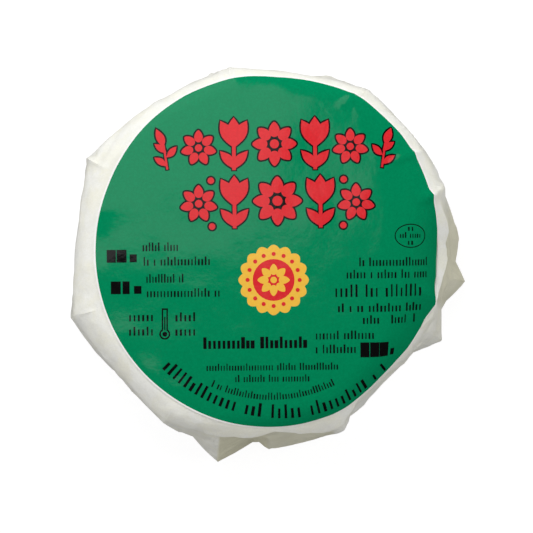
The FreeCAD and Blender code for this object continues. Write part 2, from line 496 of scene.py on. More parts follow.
def relief(radius, azimuth, depth, reach):
    """How far the paper stands off the plain folded form: soft hollows, crumples and small creases."""
    places = around(radius, azimuth, PACK_HEIGHT - depth)
    outside = smooth_step((reach - label_reach(azimuth)) / 3.0)
    rim = smooth_step((reach - label_reach(azimuth) + 9.0) / 9.0)
    loose = 0.4 + 0.5 * rim + 0.1 * outside
    soft = sum(high * noise_field(places + shift, size) for high, size, shift in HOLLOWS)
    crumple = sum(high * (CRUMPLE_LEVEL - np.abs(noise_field(places + shift, size)))
                  for high, size, shift in CRUMPLES)
    high, size, shift = RIPPLE
    ripple = high * rim * (1 - outside) * noise_field(places + shift, size)
    height = loose * soft + ripple + crumple * outside - sink(places)
    for crease in MAIN_CREASES:
        height += ridge(in_radians(crease), azimuth, reach)
    for crease in small_creases():
        height += ridge(crease, azimuth, reach) * outside
    level = places[:, 2]
    return height * (0.4 * smooth_step((level - 0.3) / 3.0) + 0.6 * smooth_step((level - 2.0) / 14.0))


# ---------------------------------------------------------------- meshes


def new_object(name, mesh, materials):
    """An object of that mesh in the scene, at the origin, with its materials."""
    for material in materials:
        mesh.materials.append(material)
    piece = bpy.data.objects.new(name, mesh)
    bpy.context.scene.collection.objects.link(piece)
    return piece


def mesh_of(name, points, faces):
    """A mesh from points in millimetres."""
    mesh = bpy.data.meshes.new(name)
    mesh.from_pydata((np.asarray(points) * MM).tolist(), [], faces)
    mesh.validate()
    return mesh


# The spacing of the wrap's points round the pack and up its wall, and its rows up the foot's rounding
# and the shoulder's.
PAPER_PITCH = 0.75
WALL_PITCH = 0.8
FOOT_ROWS = 7
SHOULDER_ROWS = 18

# Faces that meet at more than these angles, in degrees, have a crisp edge between them.
PAPER_CRISP = 38
LABEL_CRISP = 50

# How far the wrap is let down under the label, and how far in from the label's edge that starts.
LABEL_SEAT = 0.15
LABEL_LAP = 0.3

# The depth below the top at which the paper starts to darken to dull beige, and over what depth:
# partly the paper's own tint, partly painted shade lower down the wall.
DULL_SHADE_FROM = 3.5
DULL_SHADE_OVER = 2.5


def under_label(azimuth, reach):
    """How far the wrap is let down where the label hides it, so that no crease of it comes through."""
    return LABEL_SEAT * smooth_step(label_reach(azimuth) - LABEL_LAP - reach)


def quarter(steps):
    """Angles from level to upright in that many steps."""
    return [math.radians(90 * step / steps) for step in range(steps + 1)]


def wrap_rows(counts):
    """The wall and the shoulder as rows of points from the base up, and how far each point is darkened to
    dull beige, partly painted shade.
    """
    foot = mm(sizes().foot)
    largest = mm(sizes().shoulder) + mm(sizes().slump)
    heights = [foot * (1 - math.cos(turn)) for turn in quarter(FOOT_ROWS)[:-1]]
    wall_top = PACK_HEIGHT - largest
    steps = round((wall_top - foot) / WALL_PITCH)
    heights += [foot + (wall_top - foot) * step / steps for step in range(steps)]
    heights += [wall_top + largest * math.sin(turn) for turn in quarter(SHOULDER_ROWS)]
    rows, dullness_and_shade = [], []
    for z in heights:
        plan, loose = outline(z, counts, EDGE_GAP)
        azimuth, radius = polar(plan)
        depth = np.full_like(azimuth, PACK_HEIGHT - z)
        rounding = shoulder_radius(azimuth)
        turn = roll(azimuth, depth)
        side = radius - rounding * (1 - np.sin(turn))
        if z < foot:
            side = side - (foot - math.sqrt(foot**2 - (foot - z) ** 2))
        reach = radius - rounding + rounding * turn + np.maximum(0.0, depth - rounding)
        height = relief(side, azimuth, depth, reach) - under_label(azimuth, reach)
        rows.append(lifted(side, azimuth, depth, turn, height))
        # Lower down the wall the paper darkens to dull beige: partly its own tint, partly painted shade.
        dullness_and_shade.append(loose * smooth_step((depth - DULL_SHADE_FROM) / DULL_SHADE_OVER))
    return rows, dullness_and_shade


# The free edges of the upper layer of paper: how steeply the paper falls from the label towards each,
# and its line as directions from the axis in degrees and radii.
FoldedEdge = namedtuple("FoldedEdge", "slope line")
FOLDED_EDGES = [
    FoldedEdge(0.45, [
        (27.0, 46.6), (21.0, 46.0), (16.0, 45.7), (12.9, 46.0), (9.6, 46.6), (5.5, 46.6),
        (2.1, 45.5), (-2.5, 46.4), (-8.2, 45.6), (-13.4, 45.2), (-17.2, 45.2), (-21.5, 45.9),
        (-25.0, 45.6), (-28.0, 44.6)]),
    FoldedEdge(0.7, [
        (-115.0, 45.8), (-110.0, 46.4), (-106.5, 46.9), (-101.1, 46.7), (-97.6, 46.2), (-93.0, 45.9),
        (-90.8, 45.6), (-87.7, 45.0), (-85.3, 44.7), (-81.9, 45.2), (-79.2, 45.8), (-76.3, 46.3),
        (-72.8, 47.0), (-68.3, 47.9), (-65.5, 47.6), (-62.7, 46.6), (-58.0, 45.0), (-53.0, 44.2)]),
]

# The upper layer's rows out to its edge, its thickness, how far it is rooted under the label and how
# deep in the wrap, how far it keeps off the wrap further out, the spacing of its points, how ragged
# its edge is, and the radius at which lengths along it are taken. Over the last angles at its ends,
# in radians, it sinks into the wrap and narrows.
FOLD_ROWS = 12
FOLD_PAPER = 0.14
FOLD_ROOT = 2.4
FOLD_DEPTH = 0.45
FOLD_CLEAR = 0.12
FOLD_PITCH = 0.4
FOLD_RAGGED = 0.22
FOLD_RADIUS = 46.0
FOLD_SINKS = 0.04
FOLD_NARROWS = 0.16


def ragged(first, last):
    """Places along an edge and how far it runs in or out at each, from -1 to 1."""
    rng = random.Random(sizes().seed + 4)
    places = [first]
    while places[-1] < last:
        places.append(places[-1] + rng.uniform(0.8, 3.0))
    return places, [rng.uniform(-1, 1) for _ in places]


def folded_edge(top, edge):
    """The points and faces of one stretch of the upper layer, from under the label to its free edge."""
    known = sorted((math.radians(turn), radius) for turn, radius in edge.line)
    first, last = known[0][0], known[-1][0]
    columns = round((last - first) * FOLD_RADIUS / FOLD_PITCH)
    azimuth = np.linspace(first, last, columns)
    radius = np.interp(azimuth, [turn for turn, _ in known], [radius for _, radius in known])
    along, run = ragged(first * FOLD_RADIUS, last * FOLD_RADIUS)
    radius += FOLD_RAGGED * np.interp(azimuth * FOLD_RADIUS, along, run)
    rounding = shoulder_radius(azimuth)
    at_label = np.clip((label_reach(azimuth) - top.flat(azimuth)) / rounding, 0.1, 1.4)
    held = smooth_step(np.minimum(azimuth - first, last - azimuth) / FOLD_SINKS)
    ends = smooth_step(np.minimum(azimuth - first, last - azimuth) / FOLD_NARROWS)
    rows = []
    for share in (0.0, 0.25, 0.5, 0.75, 1.0):
        turn = np.clip(at_label - FOLD_ROOT * (1 - share) / rounding, 0.08 + 0.01 * share, 1.4)
        lift = 0.5 * held * smooth_step(share * 1.3) - FOLD_DEPTH
        rows.append(top.side(azimuth, rounding * (1 - np.cos(turn)), lift))
    start, start_level = polar(rows[-1])[1], rows[-1][:, 2]
    for share in (1 + np.arange(FOLD_ROWS)) / FOLD_ROWS:
        reach = start + np.maximum((radius - start) * ends, 0.2) * share
        level = start_level - edge.slope * (reach - start) * (0.7 + 0.6 * share)
        paper = top.side(azimuth, top.depth_at(azimuth, reach), FOLD_CLEAR)[:, 2]
        rows.append(around(reach, azimuth, np.maximum(level, paper) * held + (1 - held) * (paper - 0.6)))
    upper = np.concatenate(rows)
    size = len(upper)
    faces = []
    for row in range(len(rows) - 1):
        for column in range(columns - 1):
            a = row * columns + column
            faces.append((a, a + columns, a + columns + 1, a + 1))
    under = [tuple(index + size for index in reversed(face)) for face in faces]
    border = [(b, a, a + size, b + size) for a, b in open_edges(faces)]
    return np.concatenate([upper, upper - [0.0, 0.0, FOLD_PAPER]]), faces + under + border


# Rows from the hub to the wall under the base, and from the shoulder to the middle on the top.
BASE_ROWS = 16
TOP_SHARES = (0.985, 0.965, 0.94, 0.9, 0.85, 0.78, 0.7, 0.6, 0.5, 0.4, 0.3, 0.2, 0.1)


def base_rows(edge, counts):
    """The folds gathered under the base, from the hub out to the first row of the wall."""
    azimuth, radius = polar(edge)
    ramp = np.concatenate([np.linspace(0.0, 1.0, sum(panel) + 1) for panel in counts])
    hub = mm(sizes().hub)
    rows = [around(hub * part + 0 * radius, azimuth + sizes().twist, 0 * radius) for part in (0.35, 0.7, 1.0)]
    for out in np.arange(1, BASE_ROWS) / BASE_ROWS:
        turned = azimuth + sizes().twist * (1 - out)
        rows.append(around(hub + (radius - hub) * out, turned, mm(sizes().base_fold) * ramp))
    return rows


def outline_at_top(counts):
    """The edge of the level top in plan."""
    plan, _ = outline(PACK_HEIGHT, counts, EDGE_GAP)
    azimuth, radius = polar(plan)
    return plan * ((radius - shoulder_radius(azimuth)) / radius)[:, None]


def top_rows(edge):
    """The level top inside the shoulder, from its edge inwards."""
    rows = []
    for inwards in TOP_SHARES:
        azimuth, reach = polar(edge * inwards)
        height = relief(reach, azimuth, 0 * reach, reach) - under_label(azimuth, reach)
        rows.append(lifted(reach, azimuth, 0 * reach, 0 * reach, height))
    return rows


def closed_rows(rows, low_pole, high_pole):
    """Points and faces of a closed surface through rows of as many points, with a pole at each end."""
    size = len(rows[0])
    points = np.concatenate([[low_pole], *rows, [high_pole]])
    last = len(points) - 1
    sides = [(i, (i + 1) % size) for i in range(size)]
    faces = [(0, 1 + j, 1 + i) for i, j in sides]
    for base in range(1, 1 + (len(rows) - 1) * size, size):
        faces += [(base + i, base + j, base + size + j, base + size + i) for i, j in sides]
    base = 1 + (len(rows) - 1) * size
    faces += [(base + i, base + j, last) for i, j in sides]
    return points, faces


def shade_by_angle(mesh, degrees):
    """Smooth shading with crisp edges where the faces meet at more than an angle."""
    mesh.shade_smooth()
    mesh.set_sharp_from_angle(angle=math.radians(degrees))


# ---------------------------------------------------------------- nodes


class Value:
    """A node's output that works in Python sums."""

    def __init__(self, tree, socket):
        self.tree, self.socket = tree, socket

    def __add__(self, other):
        return self.tree.math("ADD", self, other)

    def __radd__(self, other):
        return self.tree.math("ADD", other, self)

    def __sub__(self, other):
        return self.tree.math("SUBTRACT", self, other)

    def __rsub__(self, other):
        return self.tree.math("SUBTRACT", other, self)

    def __mul__(self, other):
        return self.tree.math("MULTIPLY", self, other)

    def __rmul__(self, other):
        return self.tree.math("MULTIPLY", other, self)

    def __truediv__(self, other):
        return self.tree.math("DIVIDE", self, other)

    def __rtruediv__(self, other):
        return self.tree.math("DIVIDE", other, self)


class Nodes:
    """A tree of nodes."""

    def __init__(self, tree):
        self.tree = tree

    def node(self, kind, settings, inputs):
        """A node of a type, with its settings, and then its sockets' values or links."""
        node = self.tree.nodes.new(kind)
        for key, value in settings.items():
            setattr(node, key, value)
        for key, value in inputs.items():
            if isinstance(value, Value):
                self.tree.links.new(value.socket, node.inputs[key])
            else:
                node.inputs[key].default_value = value
        return node

    def value(self, kind, settings, inputs, output=0):
        """An output of a node of a type."""
        return Value(self, self.node(kind, settings, inputs).outputs[output])

    def math(self, operation, first, second=0.0):
        """A calculation with numbers or outputs."""
        return self.value("ShaderNodeMath", {"operation": operation}, {0: first, 1: second})


# ---------------------------------------------------------------- materials


class Shader(Nodes):
    """A material's nodes."""

    def __init__(self, name):
        self.material = bpy.data.materials.new(name)
        self.material.use_nodes = True
        super().__init__(self.material.node_tree)
        self.tree.nodes.clear()

    def noise(self, scale, detail=2.0, roughness=0.5, distortion=0.0):
        """Noise from 0 to 1 over the piece, with that many features in a metre."""
        place = self.value("ShaderNodeTexCoord", {}, {}, "Object")
        inputs = {"Vector": place, "Scale": scale, "Detail": detail, "Roughness": roughness,
                  "Distortion": distortion}
        return self.value("ShaderNodeTexNoise", {}, inputs, "Fac")

    def range(self, value, low, high, to_low=0.0, to_high=1.0):
        """A value mapped smoothly from one range to another, and held at its ends."""
        inputs = {0: value, 1: low, 2: high, 3: to_low, 4: to_high}
        return self.value("ShaderNodeMapRange", {"interpolation_type": "SMOOTHSTEP"}, inputs)

    def mix(self, factor, first, second):
        """A colour between two others."""
        return self.value("ShaderNodeMix", {"data_type": "RGBA"}, {0: factor, 6: first, 7: second}, 2)

    def bump(self, height, distance, strength):
        """A normal from a height over the surface."""
        inputs = {"Height": height, "Distance": distance, "Strength": strength}
        return self.value("ShaderNodeBump", {}, inputs, "Normal")

    def principled(self, **inputs):
        """A surface with those inputs, named with _ for each space."""
        named = {key.replace("_", " "): value for key, value in inputs.items()}
        return self.value("ShaderNodeBsdfPrincipled", {}, named)

    def finish(self, surface):
        """The material with that surface."""
        self.node("ShaderNodeOutputMaterial", {}, {"Surface": surface})
        return self.material


def rgba(colour, factor=1.0):
    """A colour property as a socket's four numbers, made lighter or darker by a factor."""
    return (*(min(1.0, part * factor) for part in colour), 1.0)


def waxed_paper():
    """Thin white waxed paper: milky patches, creamier where it clings, and dull beige where it hangs loose,
    partly painted shade.
    """
    if "waxed_paper" in bpy.data.materials:
        return bpy.data.materials["waxed_paper"]
    shader = Shader("waxed_paper")
    cling = shader.range(shader.noise(150.0, 5.0, 0.65, 0.5), 0.38, 0.64)
    milky = shader.range(shader.noise(240.0, 5.0, 0.7, 0.6), 0.36, 0.70, 0.0, 0.5)
    fibre = shader.noise(2600.0, 3.0, 0.6)
    cloud = shader.noise(330.0, 4.0, 0.6, 0.4)
    # The "loose" attribute darkens the paper to dull beige: partly its own tint, partly painted shade on the
    # lower folds and the shaded facets.
    loose = shader.value("ShaderNodeAttribute", {"attribute_name": "loose"}, {}, "Fac")
    paper = shader.mix(cling, rgba(colours().paper), rgba(colours().paper_cream))
    patched = shader.mix(milky, paper, rgba(colours().paper, 0.88))
    dulled_and_shaded = shader.mix(loose, patched, rgba(colours().paper_dull_and_shade))
    shaded = shader.mix(shader.range(fibre, 0.25, 0.75, 0.0, 0.14), dulled_and_shaded, rgba(colours().paper_dull_and_shade, 0.8))
    return shader.finish(shader.principled(
        Base_Color=shaded, Roughness=shader.range(cloud, 0.3, 0.7, 0.34, 0.5),
        Normal=shader.bump(fibre * 0.12 + cloud, 0.00035, 0.6), Specular_IOR_Level=0.4))


def ink(name, colour, worn):
    """Printed gloss ink: slightly uneven, and lighter where the paper's tooth has worn it."""
    shader = Shader(name)
    tooth = shader.noise(1900.0, 3.0, 0.6)
    patch = shader.noise(300.0, 3.0, 0.6)
    printed = shader.mix(shader.range(tooth, 0.3, 0.8, 0.0, worn), rgba(colour, 0.93), rgba(colour, 1.35))
    return shader.finish(shader.principled(
        Base_Color=printed, Roughness=shader.range(patch, 0.3, 0.7, 0.05, 0.09),
        Normal=shader.bump(tooth * 0.2 + patch * 0.8, 0.00008, 0.4), Specular_IOR_Level=0.5))


def white_floor():
    """A floor that the camera sees as white, apart from the pack's soft shadow."""
    shader = Shader("white_floor")
    matte = shader.value("ShaderNodeBsdfDiffuse", {}, {"Color": (0.8, 0.8, 0.8, 1.0)})
    shaded = shader.value("ShaderNodeBsdfDiffuse", {}, {"Color": (0.18, 0.18, 0.18, 1.0)})
    glow = shader.value("ShaderNodeEmission", {}, {"Strength": 0.9})
    seen = shader.value("ShaderNodeAddShader", {}, {0: shaded, 1: glow})
    camera_ray = shader.value("ShaderNodeLightPath", {}, {}, "Is Camera Ray")
    return shader.finish(shader.value("ShaderNodeMixShader", {}, {0: camera_ray, 1: matte, 2: seen}))


# ------------------------------------------------ the print, in millimetres from the label's centre

# How far the rows of flowers and small print are turned on the label, the width of the flowers' dark
# outlines, and the steps round the label's edge.
ROW_TILT = math.radians(0.6)
OUTLINE_WIDTH = 0.42
EDGE_STEPS = 300

# How far right of the label's centre the upper and the lower band of flowers have their middles.
UPPER_MIDDLE = 0.9
LOWER_MIDDLE = 1.5

# The seal: its middle, its radius, how deep its scallops are and how many it has, the radius of its red
# field, of the flower on that and of the flower's eye, and its beads: the ring's radius and their own.
SEAL = (0.44, -6.98)
SEAL_RADIUS = 8.6
SEAL_SCALLOP = 0.9
SEAL_LOBES = 16
SEAL_FIELD = 5.1
SEAL_FLOWER = 4.1
SEAL_EYE = 0.8
BEAD_RING = 6.35
BEAD_RADIUS = 0.5

# A row of small print: the middle of the row, how many marks it has, its length, the height of its
# marks, how thick they are as a share of their spacing, the radius of its curve, or 0 where it's
# straight, and how far the row is turned.
Row = namedtuple("Row", "x y marks length height weight bend turn", defaults=(0.36, 0.0, 0.0))
PRINT_ROWS = [
    Row(-37.9, -1.2, 2, 5.0, 3.1, 0.74),
    Row(-33.8, -1.7, 1, 1.9, 1.9, 0.74),
    Row(-36.8, -8.9, 2, 5.0, 3.1, 0.74),
    Row(-32.7, -9.4, 1, 1.9, 1.9, 0.74),
    Row(-27.2, 0.8, 12, 9.0, 1.45),
    Row(-23.2, -2.7, 20, 16.6, 1.45),
    Row(-26.1, -6.9, 13, 9.4, 1.45),
    Row(-21.6, -10.4, 22, 18.2, 1.45),
    Row(-31.9, -16.3, 6, 6.4, 1.5),
    Row(-31.9, -19.8, 6, 6.4, 1.5),
    Row(-21.1, -16.3, 5, 5.4, 1.5),
    Row(-21.1, -19.8, 5, 5.4, 1.5),
    Row(30.1, -2.8, 22, 18.0, 1.45),
    Row(28.5, -5.8, 25, 21.0, 1.45),
    Row(26.2, -10.0, 18, 22.2, 2.1, 0.30),
    Row(26.7, -14.0, 23, 21.6, 1.45),
    Row(29.0, -16.9, 16, 14.0, 1.45),
    Row(17.8, -20.7, 17, 14.6, 1.45),
    Row(15.6, -24.1, 12, 10.2, 1.45),
    Row(25.1, -24.0, 3, 7.2, 3.6, 0.76),
    Row(29.9, -24.8, 1, 1.9, 1.7, 0.6),
    Row(-4.1, -22.7, 22, 25.6, 1.95, 0.58),
    Row(0.1, -28.4, 47, 32.4, 1.2),
    Row(0.1, -31.2, 27, 18.4, 1.2),
    Row(33.9, 5.5, 2, 1.8, 0.95),
    Row(33.9, 3.8, 9, 5.6, 0.95),
    Row(33.9, 2.1, 2, 1.8, 0.95),
    Row(0.3, -35.6, 44, 31.0, 1.2, 0.36, 34.5),
    Row(1.0, -39.4, 38, 61.0, 2.2, 0.34, 39.4, math.radians(-2)),
]

# How much heavier the marks are printed, the share of a row's marks that are left out as spaces, and how
# many marks a row has before any is left out. A straight row bends with a very large radius. The
# repeated print is as thick as several layers of ink, and half of it lies in the label.
PRINT_WEIGHT = 1.15
PRINT_SPACES = 0.12
FEW_MARKS = 5
STRAIGHT = 9000.0
INK_LAYERS = 4


def rounded_lens(length, width, steps=12):
    """A petal: round at its foot at the origin, and drawn out towards its tip up the page."""
    turn = 2 * math.pi * np.arange(2 * steps) / (2 * steps)
    up = (1 - np.cos(turn)) / 2
    return np.stack([width / 2 * np.sin(turn) * (1 - 0.45 * up**2), length * up], 1)


def leaf(length, width, bend, steps=10):
    """A leaf, pointed at both ends, with its foot at the origin, that bends to one side."""
    up = np.concatenate([np.arange(steps) / steps, 1 - np.arange(steps) / steps])
    side = np.where(np.arange(2 * steps) < steps, 1.0, -1.0)
    return np.stack([side * width / 2 * np.sin(math.pi * up) + bend * up**2, length * up], 1)


def disc(radius, steps=32):
    """A circle about the origin."""
    turn = 2 * math.pi * np.arange(steps) / steps
    return radius * np.stack([np.cos(turn), np.sin(turn)], 1)


def scallop(radius, depth, lobes, steps=12):
    """A round outline with that many petals round its edge."""
    turn = 2 * math.pi * np.arange(lobes * steps) / (lobes * steps)
    reach = radius - depth * (1 - np.abs(np.cos(lobes * turn / 2)))
    return np.stack([reach * np.cos(turn), reach * np.sin(turn)], 1)


def bar(width, height):
    """A rectangle about the origin."""
    x, y = width / 2, height / 2
    return np.array([(-x, -y), (x, -y), (x, y), (-x, y)])


def placed(points, x, y, turn=0.0, mirror=1):
    """An outline, mirrored if asked, turned about the origin and moved."""
    flipped = points * [mirror, 1]
    cos, sin = math.cos(turn), math.sin(turn)
    return flipped @ np.array([[cos, sin], [-sin, cos]]) + [x, y]


def signed_area(points):
    """The area inside an outline, below 0 where it runs clockwise."""
    following = np.roll(points, -1, 0)
    return 0.5 * np.sum(points[:, 0] * following[:, 1] - following[:, 0] * points[:, 1])


def grown_outline(points, distance):
    """An outline moved outwards by a distance."""
    way = np.roll(points, -1, 0) - points
    side = np.stack([way[:, 1], -way[:, 0]], 1) / np.linalg.norm(way, axis=1)[:, None]
    side *= np.sign(signed_area(points))
    normal = side + np.roll(side, 1, 0)
    normal /= np.maximum(np.linalg.norm(normal, axis=1), 0.6)[:, None]
    return points + normal * distance


def tulip(height):
    """A tulip on its stalk, with two leaves: outlines about the foot of the stalk."""
    shapes = [placed(leaf(0.58 * height, 0.28 * height, 0.0), 0, 0.42 * height),
              placed(bar(0.07 * height, 0.46 * height), 0, 0.23 * height)]
    for side in (1, -1):
        outer = leaf(0.56 * height, 0.28 * height, 0.12 * height)
        low = leaf(0.42 * height, 0.19 * height, 0.10 * height)
        shapes.append(placed(outer, 0, 0.42 * height, math.radians(-14 * side), side))
        shapes.append(placed(low, 0, 0.02 * height, math.radians(-24 * side), side))
    return shapes


def daisy(radius, petals):
    """A flower seen from the front: outlines about its middle."""
    shapes = [placed(rounded_lens(0.66 * radius, 0.52 * radius), 0.30 * radius * math.sin(turn),
                     0.30 * radius * math.cos(turn), -turn)
              for turn in (2 * math.pi * step / petals for step in range(petals))]
    return [*shapes, disc(0.2 * radius, 16)]


def sprig(height, side):
    """A leafy twig that leans to one side: outlines about its foot."""
    shapes = [placed(leaf(0.46 * height, 0.20 * height, 0.06 * height), 0.10 * height * side, 0.54 * height,
                     math.radians(-12 * side), side)]
    for up, lean in ((0.08, 46), (0.30, -52), (0.40, 44)):
        turn = math.radians(-lean * side)
        shapes.append(placed(leaf(0.36 * height, 0.16 * height, 0.05 * height * side), 0.03 * height * side,
                             up * height, turn))
    shapes.append(placed(bar(0.05 * height, 0.60 * height), 0.05 * height * side, 0.30 * height,
                         math.radians(-8 * side)))
    return shapes


def title_rows():
    """The two bands of red flowers, leaves and beads at the top of the label."""
    upper = [placed(shape, UPPER_MIDDLE, 26.2) for shape in daisy(5.6, 8)]
    lower = [placed(shape, LOWER_MIDDLE, 12.3) for shape in daisy(6.2, 8)]
    for side in (-1, 1):
        upper += [placed(shape, UPPER_MIDDLE + 9.9 * side, 19.9) for shape in tulip(12.9)]
        upper += [placed(shape, UPPER_MIDDLE + 18.5 * side, 25.4) for shape in daisy(4.5, 7)]
        upper += [placed(shape, UPPER_MIDDLE + 26.1 * side, 20.2) for shape in sprig(10.0, side)]
        lower += [placed(shape, LOWER_MIDDLE + 10.5 * side, 5.7) for shape in tulip(12.9)]
        lower += [placed(shape, LOWER_MIDDLE + 19.2 * side, 11.8) for shape in daisy(4.7, 7)]
        lower.append(placed(disc(0.8, 16), LOWER_MIDDLE + 16.2 * side, 17.4))
        lower.append(placed(disc(0.8, 16), LOWER_MIDDLE + 16.0 * side, 6.2))
    return [placed(shape, 0, 0, ROW_TILT) for shape in upper + lower]


def label_shapes():
    """The label's fields of colour from the bottom up: the name of each one's ink, and its outline."""
    radius, margin = mm(label_sizes().radius), mm(label_sizes().margin)
    shapes = [("margin", disc(radius, EDGE_STEPS)), ("green", disc(radius - margin, EDGE_STEPS))]
    title = title_rows()
    shapes += [("dark", grown_outline(shape, OUTLINE_WIDTH)) for shape in title]
    shapes += [("red", shape) for shape in title]
    seal = [("yellow", scallop(SEAL_RADIUS, SEAL_SCALLOP, SEAL_LOBES)), ("red", disc(SEAL_FIELD)),
            *(("yellow", petal) for petal in daisy(SEAL_FLOWER, 8)[:-1]), ("yellow", disc(SEAL_EYE, 16))]
    shapes += [(name, placed(shape, *SEAL)) for name, shape in seal]
    gauge = [("dark", disc(1.35, 20)), ("dark", placed(bar(1.5, 6.2), 0, 3.2)),
             ("green", placed(bar(0.8, 5.6), 0, 3.1)), ("dark", placed(bar(0.3, 4.0), 0, 2.2)),
             ("green", disc(0.95, 20)), ("dark", disc(0.6, 16))]
    shapes += [(name, placed(shape, -26.1, -20.2)) for name, shape in gauge]
    oval = [("dark", disc(1.0, 40) * [4.05, 2.95]), ("green", disc(1.0, 40) * [3.8, 2.7])]
    shapes += [(name, placed(shape, 34.0, 3.8)) for name, shape in oval]
    return shapes


def label_inks():
    """The label's inks by name."""
    return {
        "margin": ink("label_margin", (0.9, 0.9, 0.88), 0.05),
        "green": ink("label_green", colours().green, 0.4),
        "dark": ink("label_dark", colours().dark, 0.3),
        "red": ink("label_red", colours().red, 0.3),
        "yellow": ink("label_yellow", colours().yellow, 0.2),
    }


def inside(points, edge):
    """Which points lie inside an outline."""
    found = np.zeros(len(points), bool)
    near = np.where(np.all((points > edge.min(0)) & (points < edge.max(0)), axis=1))[0]
    x, y = points[near, 0], points[near, 1]
    crossed = np.zeros(len(near), bool)
    for (x0, y0), (x1, y1) in zip(edge, np.roll(edge, -1, 0)):
        if y0 != y1:
            crossed ^= ((y0 > y) != (y1 > y)) & (x < x0 + (y - y0) * (x1 - x0) / (y1 - y0))
    found[near] = crossed
    return found


# The spacing of the label's inner points, that of their rows as a share of it, and how far they keep
# from the label's edge.
LABEL_PITCH = 1.0
LABEL_ROW_PITCH = 0.87
LABEL_CLEAR = 1.2


def divided_disc(shapes):
    """The flat label cut along its shapes: points in plan, triangles, and the ink of each triangle."""
    points, faces = [], []
    for _, edge in shapes:
        base = len(points)
        points += [Vector(point) for point in edge.tolist()]
        faces.append(list(range(base, len(points))))
    inner = mm(label_sizes().radius) - LABEL_CLEAR
    steps = int(inner / (LABEL_ROW_PITCH * LABEL_PITCH)) + 1
    for row in range(-steps, steps + 1):
        for column in range(-steps, steps + 1):
            x, y = (column + 0.5 * (row % 2)) * LABEL_PITCH, row * LABEL_ROW_PITCH * LABEL_PITCH
            if math.hypot(x, y) < inner:
                points.append(Vector((x, y)))
    found, _, triangles, *_ = delaunay_2d_cdt(points, [], faces, 1, 1e-5, False)
    flat = np.array([tuple(point) for point in found])
    middles = flat[np.array([tuple(triangle) for triangle in triangles])].mean(1)
    top_shape = np.full(len(triangles), -1)
    for number, (_, edge) in enumerate(shapes):
        top_shape[inside(middles, edge)] = number
    layers = [shapes[number][0] for number in top_shape if number >= 0]
    triangles = [tuple(triangle) for triangle, number in zip(triangles, top_shape) if number >= 0]
    return flat + label_centre(), triangles, layers


def open_edges(faces):
    """The edges that only one face has, in the direction it runs along them."""
    edges = {(a, b) for face in faces for a, b in zip(face, face[1:] + face[:1])}
    return [(a, b) for a, b in edges if (b, a) not in edges]


# ---------------------------------------------------------------- repeated print, by geometry nodes


class Growth(Nodes):
    """A geometry node tree with named inputs."""

    def __init__(self, name, inputs):
        super().__init__(bpy.data.node_groups.new(name, "GeometryNodeTree"))
        self.tree.interface.new_socket("Geometry", in_out="OUTPUT", socket_type="NodeSocketGeometry")
        for key, kind in inputs.items():
            self.tree.interface.new_socket(key, in_out="INPUT", socket_type="NodeSocket" + kind)
        self.start = self.node("NodeGroupInput", {}, {})

    def input(self, name):
        """One of the tree's inputs."""
        return Value(self, self.start.outputs[name])

    def chance(self, index, shift):
        """A random share from 0 to 1 for each mark, from the tree's seed."""
        inputs = {2: 0.0, 3: 1.0, "ID": index, "Seed": self.input("Seed") + float(shift)}
        return self.value("FunctionNodeRandomValue", {"data_type": "FLOAT"}, inputs, 1)

    def vector(self, x, y, z):
        """A vector from its three parts."""
        return self.value("ShaderNodeCombineXYZ", {}, {0: x, 1: y, 2: z})

    def moved(self, geometry, place):
        """Geometry with its points moved to places."""
        return self.value("GeometryNodeSetPosition", {}, {"Geometry": geometry, "Position": place})

    def realized(self, instances):
        """Instances made real."""
        return self.value("GeometryNodeRealizeInstances", {}, {"Geometry": instances})

    def finish(self, instances):
        """Makes the instances real, gives them their ink and ends the tree."""
        inputs = {"Geometry": self.realized(instances), "Material": self.input("Ink")}
        inked = self.value("GeometryNodeSetMaterial", {}, inputs)
        self.node("NodeGroupOutput", {}, {"Geometry": inked})
        return self.tree


# The share of a row's marks that are taller, how far those stand up and how much longer they are, both
# as shares of a mark's height, and how many marks a row has before any is taller. Each mark's width
# is at least one share of the plain width, and up to another share more.
TALL_SHARE = 0.28
TALL_RISE = 0.22
TALL_LENGTH = 0.44
TALL_FROM = 3.0
WIDTH_LEAST = 0.75
WIDTH_MORE = 0.5


def print_row_tree():
    """A row of small upright marks in uneven groups, some of them taller, bent along an arc."""
    growth = Growth("print_row", {
        "Marks": "Int", "Row Length": "Float", "Height": "Float", "Weight": "Float", "Thickness": "Float",
        "Spaces": "Float", "Bend Radius": "Float", "Seed": "Int", "Ink": "Material"})
    marks, row_length = growth.input("Marks"), growth.input("Row Length")
    index = growth.value("GeometryNodeInputIndex", {}, {})
    pitch = row_length / marks
    x = (index + 0.5) * pitch - row_length * 0.5
    long_row = growth.math("GREATER_THAN", marks, TALL_FROM)
    tall = growth.math("LESS_THAN", growth.chance(index, 0), TALL_SHARE) * long_row
    rise = tall * TALL_RISE * growth.input("Height")
    line = growth.moved(growth.value("GeometryNodePoints", {}, {"Count": marks}), growth.vector(x, rise, 0.0))
    width = pitch * growth.input("Weight") * (growth.chance(index, 7) * WIDTH_MORE + WIDTH_LEAST)
    height = growth.input("Height") * (tall * TALL_LENGTH + 1.0)
    kept = growth.value("FunctionNodeCompare", {"data_type": "FLOAT", "operation": "GREATER_EQUAL"},
                        {0: growth.chance(index, 13), 1: growth.input("Spaces")})
    block = {"Size": (1.0, 1.0, 1.0), "Vertices X": 3, "Vertices Y": 4}
    mark = growth.value("GeometryNodeMeshCube", {}, block, "Mesh")
    row = growth.realized(growth.value("GeometryNodeInstanceOnPoints", {}, {
        "Points": line, "Selection": kept, "Instance": mark,
        "Scale": growth.vector(width, height, growth.input("Thickness"))}))
    place = growth.value("GeometryNodeInputPosition", {}, {})
    x, y, z = (growth.value("ShaderNodeSeparateXYZ", {}, {0: place}, part) for part in range(3))
    radius = growth.input("Bend Radius")
    turn, reach = x / radius, radius - y
    up = radius - reach * growth.math("COSINE", turn)
    return growth.finish(growth.moved(row, growth.vector(reach * growth.math("SINE", turn), up, z)))


